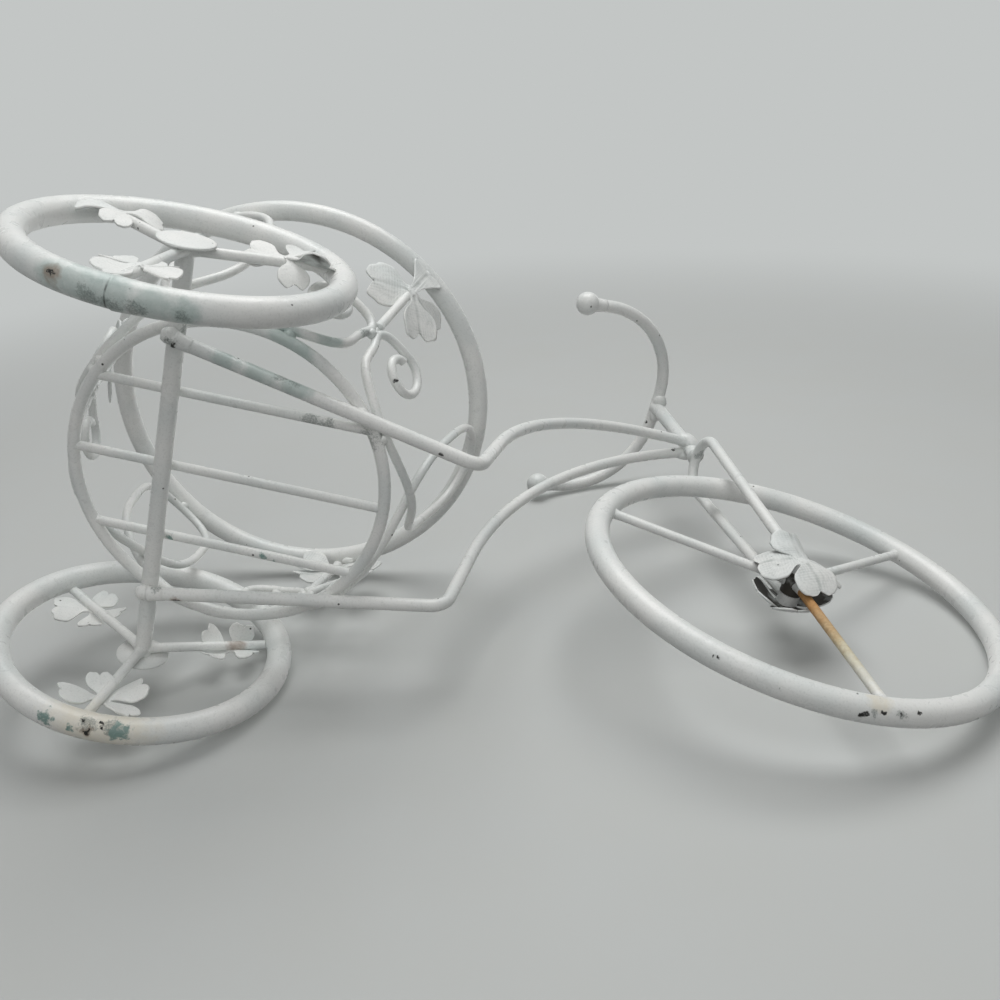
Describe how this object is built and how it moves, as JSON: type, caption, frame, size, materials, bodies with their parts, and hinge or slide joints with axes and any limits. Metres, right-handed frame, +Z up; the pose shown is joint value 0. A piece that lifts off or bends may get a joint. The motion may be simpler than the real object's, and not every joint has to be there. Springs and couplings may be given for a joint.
{
  "type": "tricycle plant stand",
  "caption": "Painted steel plant stand in the form of a tricycle: a scrolled ring basket for a pot on fixed rear wheels, with a front wheel that turns under a curved handlebar.",
  "frame": {"origin": "on the ground, below the middle of the stand's length and width", "axes": "+X forward to the front wheel, +Y to the stand's left, +Z up, with the stand upright on its three wheels"},
  "size_m": [0.4975, 0.2174, 0.3398],
  "materials": {
    "painted_rod": "aged white semi-gloss paint, chipped and stained in places",
    "painted_sheet": "aged white paint on thin pressed sheet",
    "rusted_spoke": "white paint worn to rust",
    "bare_steel": "plain turned pin"
  },
  "bodies": {
    "frame": {"base_ring": "painted_rod", "fork": "painted_rod", "front_axle": "bare_steel", "front_scroll": "painted_rod", "handlebar": "painted_rod", "left_base_rod": "painted_rod", "left_basket_clover": "painted_sheet", "left_front_clover": "painted_sheet", "left_grip": "painted_rod", "left_post": "painted_rod", "left_rail": "painted_rod", "left_scroll": "painted_rod", "middle_base_rod": "painted_rod", "rear_axle": "painted_rod", "rear_basket_clover": "painted_sheet", "rear_left_clover_1": "painted_sheet", "rear_left_clover_2": "painted_sheet", "rear_left_clover_3": "painted_sheet", "rear_left_hub_cap": "painted_sheet", "rear_left_rim": "painted_rod", "rear_left_spoke_1": "painted_rod", "rear_left_spoke_2": "painted_rod", "rear_left_spoke_3": "painted_rod", "rear_post": "painted_rod", "rear_right_clover_1": "painted_sheet", "rear_right_clover_2": "painted_sheet", "rear_right_clover_3": "painted_sheet", "rear_right_hub_cap": "painted_sheet", "rear_right_rim": "painted_rod", "rear_right_spoke_1": "painted_rod", "rear_right_spoke_2": "painted_rod", "rear_right_spoke_3": "painted_rod", "right_base_rod": "painted_rod", "right_basket_clover": "painted_sheet", "right_front_clover": "painted_sheet", "right_grip": "painted_rod", "right_post": "painted_rod", "right_rail": "painted_rod", "right_scroll": "painted_rod", "stem": "painted_rod", "top_ring": "painted_rod"},
    "front_wheel": {"front_rim": "painted_rod", "front_spoke_1": "painted_rod", "front_spoke_2": "painted_rod", "front_spoke_3": "rusted_spoke", "front_hub": "painted_rod"}
  },
  "joints": [
    {"name": "front_wheel_spin", "type": "hinge", "parent": "frame", "child": "front_wheel", "pos_m": [0.1385, 0, 0.11025], "axis": [0, 1, 0], "continuous": true}
  ]
}
